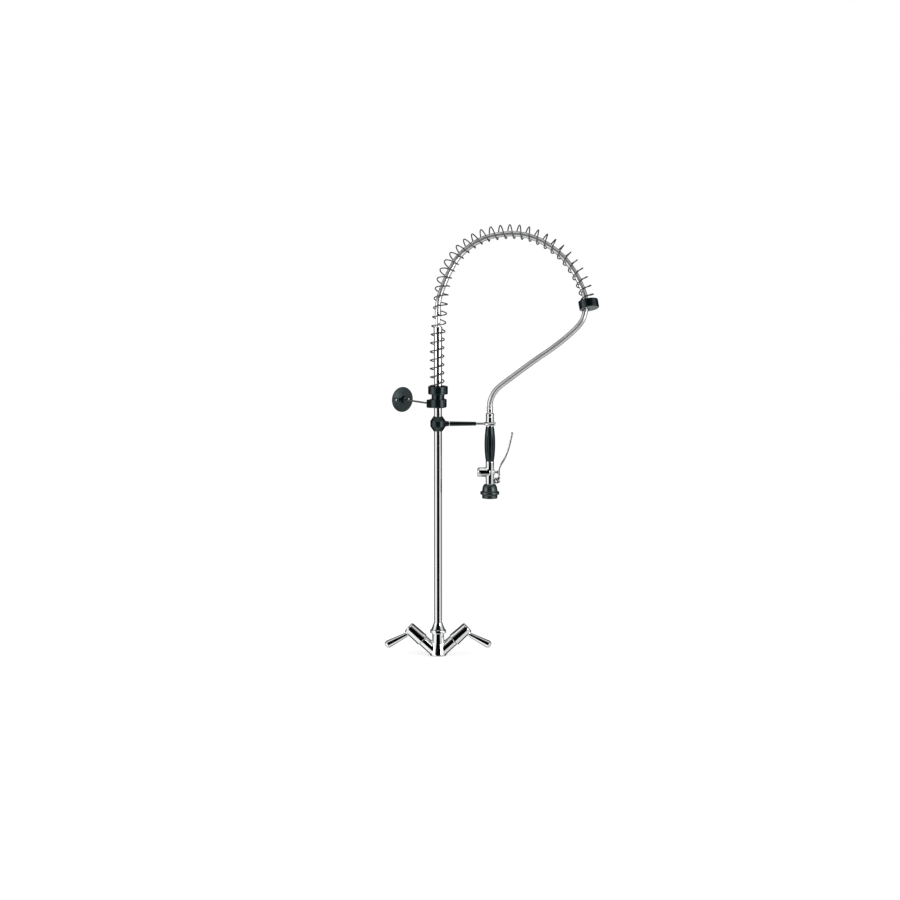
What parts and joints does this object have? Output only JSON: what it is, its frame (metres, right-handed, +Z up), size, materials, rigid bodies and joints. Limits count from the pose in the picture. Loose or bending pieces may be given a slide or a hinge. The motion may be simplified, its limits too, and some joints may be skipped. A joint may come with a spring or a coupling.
{
  "type": "pre rinse faucet",
  "caption": "Deck mounted mixer faucet with a tall riser, a spring arch, a hose and a hand held spray gun, braced to the wall.",
  "frame": {"origin": "centre of the foot's underside, on the deck", "axes": "+Z up the column, +X from the column towards the spray gun, -Y towards the user"},
  "size_m": [0.5769, 0.2087, 1.1695],
  "materials": {
    "chrome": "polished",
    "steel": "bright drawn",
    "brass": "turned",
    "ceramic": "lapped ceramic",
    "black_rubber": "matte",
    "black_plastic": "satin moulded",
    "hose_pvc": "grey braid under clear skin"
  },
  "bodies": {
    "base": {"base_body": "chrome", "base_gasket": "black_rubber", "left_valve_body": "brass", "right_valve_body": "brass", "left_seat_seal": "black_rubber", "right_seat_seal": "black_rubber", "left_fixed_disc": "ceramic", "right_fixed_disc": "ceramic", "column_nut": "chrome", "column_seal": "black_rubber", "riser_tube": "chrome", "union_nut": "chrome", "union_washer": "black_rubber", "hose_tail": "chrome"},
    "left_handle": {"left_hub": "chrome", "left_lever": "chrome", "left_grub_screw": "steel", "left_spindle": "brass", "left_moving_disc": "ceramic"},
    "right_handle": {"right_hub": "chrome", "right_lever": "chrome", "right_grub_screw": "steel", "right_spindle": "brass", "right_moving_disc": "ceramic"},
    "wall_bracket": {"wall_clamp": "black_plastic", "rod_socket": "black_plastic", "wall_rod": "steel", "wall_flange": "black_plastic", "flange_grub_screw": "steel"},
    "arch": {"spring_seat": "black_plastic", "spring": "steel", "end_collar": "black_plastic", "hose": "hose_pvc", "top_ferrule": "chrome"},
    "holder": {"holder_clamp": "black_plastic", "holder_set_screw": "steel", "holder_sleeve": "black_plastic", "holder_fork": "chrome"},
    "hose_end": {"gun_ferrule": "chrome", "swivel_cap": "chrome"},
    "gun": {"swivel_sleeve": "chrome", "swivel_washer": "black_rubber", "handle_tube": "chrome", "grip": "black_plastic", "gun_body": "chrome", "side_cap": "chrome", "valve_spring": "steel", "stem_seal": "black_rubber", "stem_gland": "chrome", "lever_pin": "steel", "spray_housing": "brass", "face_seal": "black_rubber", "spray_face": "steel", "face_ring": "chrome", "bumper": "black_rubber"},
    "trigger": {"squeeze_lever": "chrome"},
    "valve": {"valve_stem": "steel", "valve_washer": "black_rubber"}
  },
  "joints": [
    {"name": "left_handle_turn", "type": "hinge", "parent": "base", "child": "left_handle", "pos_m": [-0.06857, 0, 0.06643], "axis": [-0.7373, 0, 0.6756], "range_deg": [0, 90]},
    {"name": "right_handle_turn", "type": "hinge", "parent": "base", "child": "right_handle", "pos_m": [0.06857, 0, 0.06643], "axis": [0.7373, 0, 0.6756], "range_deg": [-90, 0]},
    {"name": "wall_bracket_turn", "type": "hinge", "parent": "base", "child": "wall_bracket", "pos_m": [0, 0, 0.68605], "axis": [0, 0, 1], "range_deg": [-30, 30]},
    {"name": "arch_turn", "type": "hinge", "parent": "base", "child": "arch", "pos_m": [0, 0, 0.7145], "axis": [0, 0, 1], "range_deg": [-140, 50]},
    {"name": "holder_turn", "type": "hinge", "parent": "base", "child": "holder", "pos_m": [0, 0, 0.6345], "axis": [0, 0, 1], "range_deg": [-140, 50]},
    {"name": "gun_slide", "type": "slide", "parent": "arch", "child": "hose_end", "axis": [1, 0, 0], "range_m": [0, 0.07], "deforming": ["hose"]},
    {"name": "gun_swivel", "type": "hinge", "parent": "hose_end", "child": "gun", "pos_m": [0.14, 0, 0.6525], "axis": [0, 0, 1], "continuous": true},
    {"name": "trigger_squeeze", "type": "hinge", "parent": "gun", "child": "trigger", "pos_m": [0.161, 0, 0.4795], "axis": [0, -1, 0], "range_deg": [0, 14.5], "stiffness_Nm_per_rad": 1.5, "springref_deg": -8.59},
    {"name": "valve_slide", "type": "slide", "parent": "gun", "child": "valve", "axis": [-1, 0, 0], "range_m": [0, 0.0069], "deforming": ["valve_spring"]}
  ],
  "couplings": [
    {"joint": "holder_turn", "follows": "arch_turn", "ratio": 1},
    {"joint": "valve_slide", "follows": "trigger_squeeze", "m_per_rad": 0.0272}
  ]
}
